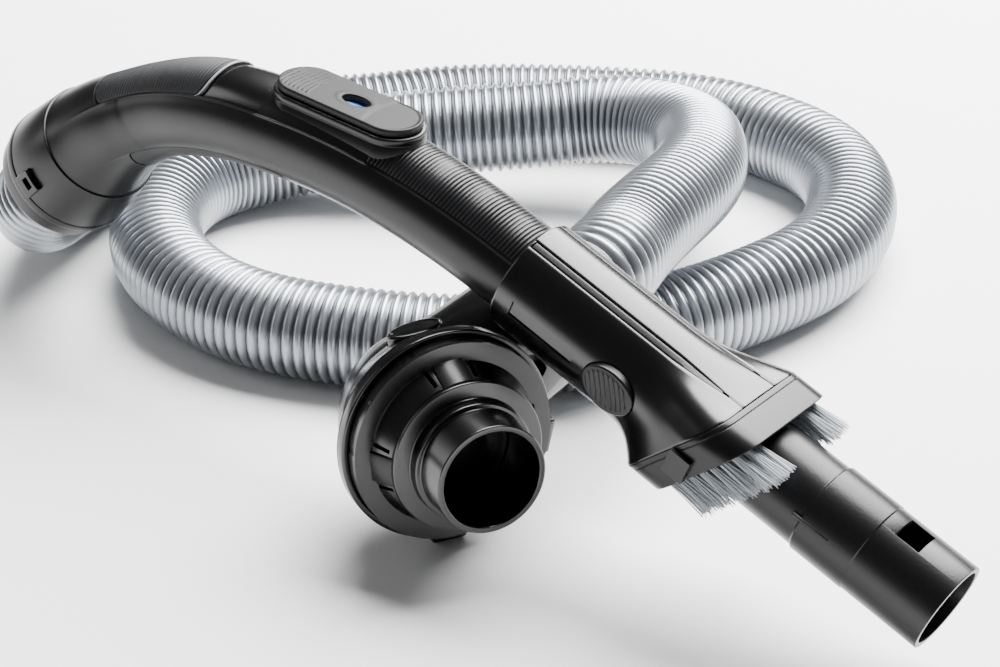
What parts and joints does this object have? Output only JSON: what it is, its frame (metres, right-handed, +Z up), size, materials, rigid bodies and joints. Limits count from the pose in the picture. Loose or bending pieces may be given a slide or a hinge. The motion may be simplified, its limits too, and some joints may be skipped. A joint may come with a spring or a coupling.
{
  "type": "canister vacuum hose assembly",
  "caption": "Curved vacuum handle with a sliding dusting brush and suction slider, a looped corrugated hose and a round swivelling canister connector with release buttons.",
  "frame": {"origin": "on the floor, at the middle of the box round the handle and connector (the hose left out)", "axes": "+X along the handle towards its wand end, +Z up, standing on the floor; the handle's plane is upright and parallel to XZ"},
  "size_m": [0.5303, 0.4103, 0.1543],
  "materials": {
    "black_plastic": "satin",
    "gloss_black": "gloss",
    "grip_rubber": "matte",
    "dark_grey_plastic": "matte",
    "grey_plastic": "satin",
    "blue_plastic": "gloss",
    "silver_hose": "satin",
    "bristle": "matte",
    "seal_rubber": "matte"
  },
  "bodies": {
    "hose_assembly": {"handle_shell": "black_plastic", "handle_top_cover": "gloss_black", "top_grip_insert": "grip_rubber", "grip_end_rim": "grey_plastic", "under_grip_insert": "grip_rubber", "ribbed_cover": "black_plastic", "control_pod": "black_plastic", "blue_indicator": "blue_plastic", "hose_socket": "gloss_black", "socket_end_ring": "gloss_black", "socket_snap_clip": "black_plastic", "handle_duct": "dark_grey_plastic", "wand_tube": "black_plastic", "suction_hose": "silver_hose", "connector_housing": "gloss_black", "connector_mouth_ring": "black_plastic", "neck_cuff": "black_plastic", "elbow_duct": "dark_grey_plastic", "spigot_seal": "seal_rubber", "retaining_ring": "dark_grey_plastic"},
    "suction_control": {"suction_slider": "black_plastic", "bleed_valve_plate": "dark_grey_plastic"},
    "dusting_brush": {"brush_sleeve": "black_plastic", "sleeve_strip_near": "gloss_black", "sleeve_strip_far": "gloss_black", "brush_collar": "black_plastic", "collar_clip_near": "dark_grey_plastic", "collar_clip_far": "dark_grey_plastic", "bristle_carrier": "black_plastic", "bristle_tufts": "bristle"},
    "brush_press_near": {"brush_button_near": "grip_rubber"},
    "brush_press_far": {"brush_button_far": "grip_rubber"},
    "connector_press_top": {"connector_button_top": "gloss_black"},
    "connector_press_bottom": {"connector_button_bottom": "gloss_black"},
    "swivel_spigot": {"spigot": "black_plastic", "latch_cage": "gloss_black", "latch_fingers": "dark_grey_plastic"},
    "hose_cuff": {"swivel_cuff": "grey_plastic"}
  },
  "joints": [
    {"name": "suction_slide", "type": "slide", "parent": "hose_assembly", "child": "suction_control", "axis": [-0.9954, 0, 0.0958], "range_m": [0, 0.01]},
    {"name": "brush_slide", "type": "slide", "parent": "hose_assembly", "child": "dusting_brush", "axis": [0.9291, 0, -0.3697], "range_m": [0, 0.072]},
    {"name": "brush_press_near", "type": "slide", "parent": "dusting_brush", "child": "brush_press_near", "axis": [0, 1, 0], "range_m": [0, 0.0015], "stiffness_N_per_m": 800, "springref_m": -0.001},
    {"name": "brush_press_far", "type": "slide", "parent": "dusting_brush", "child": "brush_press_far", "axis": [0, -1, 0], "range_m": [0, 0.0015], "stiffness_N_per_m": 800, "springref_m": -0.001},
    {"name": "connector_press_top", "type": "slide", "parent": "hose_assembly", "child": "connector_press_top", "axis": [0.0995, 0.0671, -0.9928], "range_m": [0, 0.002], "stiffness_N_per_m": 1000, "springref_m": -0.001},
    {"name": "connector_press_bottom", "type": "slide", "parent": "hose_assembly", "child": "connector_press_bottom", "axis": [-0.0995, -0.0671, 0.9928], "range_m": [0, 0.002], "stiffness_N_per_m": 1000, "springref_m": -0.001},
    {"name": "spigot_swivel", "type": "hinge", "parent": "hose_assembly", "child": "swivel_spigot", "pos_m": [0.02838, -0.0194, 0.04584], "axis": [0.8926, -0.447, 0.0593], "continuous": true},
    {"name": "hose_cuff_swivel", "type": "hinge", "parent": "hose_assembly", "child": "hose_cuff", "pos_m": [-0.20184, 0.0132, 0.07733], "axis": [-0.7431, 0, -0.6691], "continuous": true}
  ]
}
